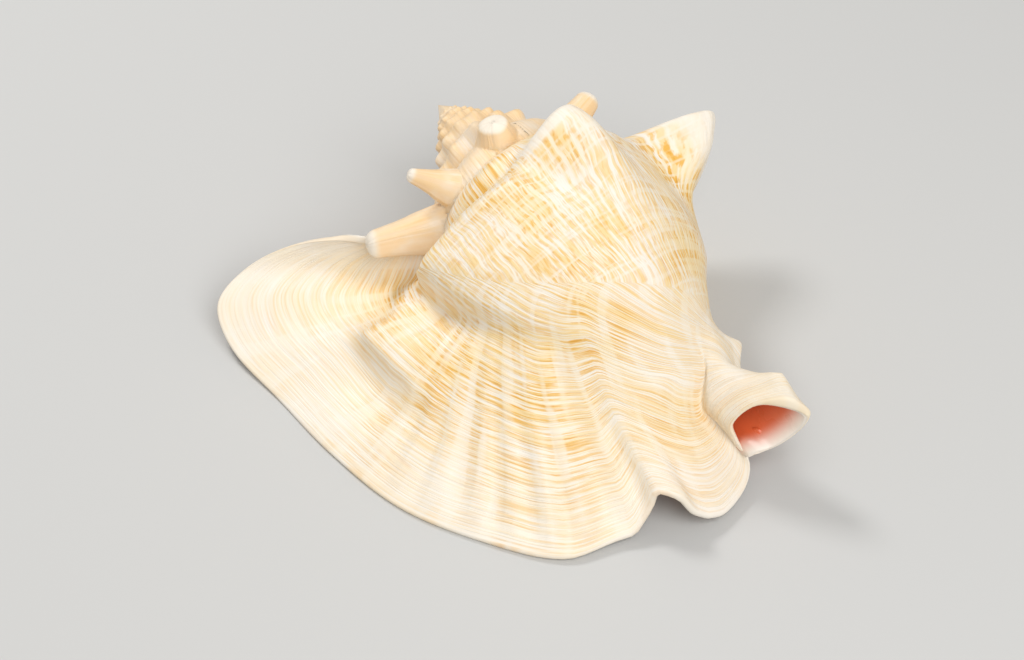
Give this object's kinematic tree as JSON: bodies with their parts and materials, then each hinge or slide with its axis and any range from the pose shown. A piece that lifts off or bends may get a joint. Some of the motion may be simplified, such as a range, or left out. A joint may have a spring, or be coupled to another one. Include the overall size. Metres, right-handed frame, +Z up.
{
  "type": "conch shell",
  "caption": "Large knobbed conch shell with a wide flared lip and a flared canal mouth, resting on its opening.",
  "frame": {"origin": "on the table, under the middle of the shell's box", "axes": "+X along the coil's axis, from the pointed top to the canal; +Z up, away from the opening; the lip spreads towards -Y"},
  "size_m": [0.2114, 0.2046, 0.1003],
  "materials": {
    "shell": "satin"
  },
  "bodies": {
    "root": {"conch_shell": "shell"}
  },
  "joints": []
}
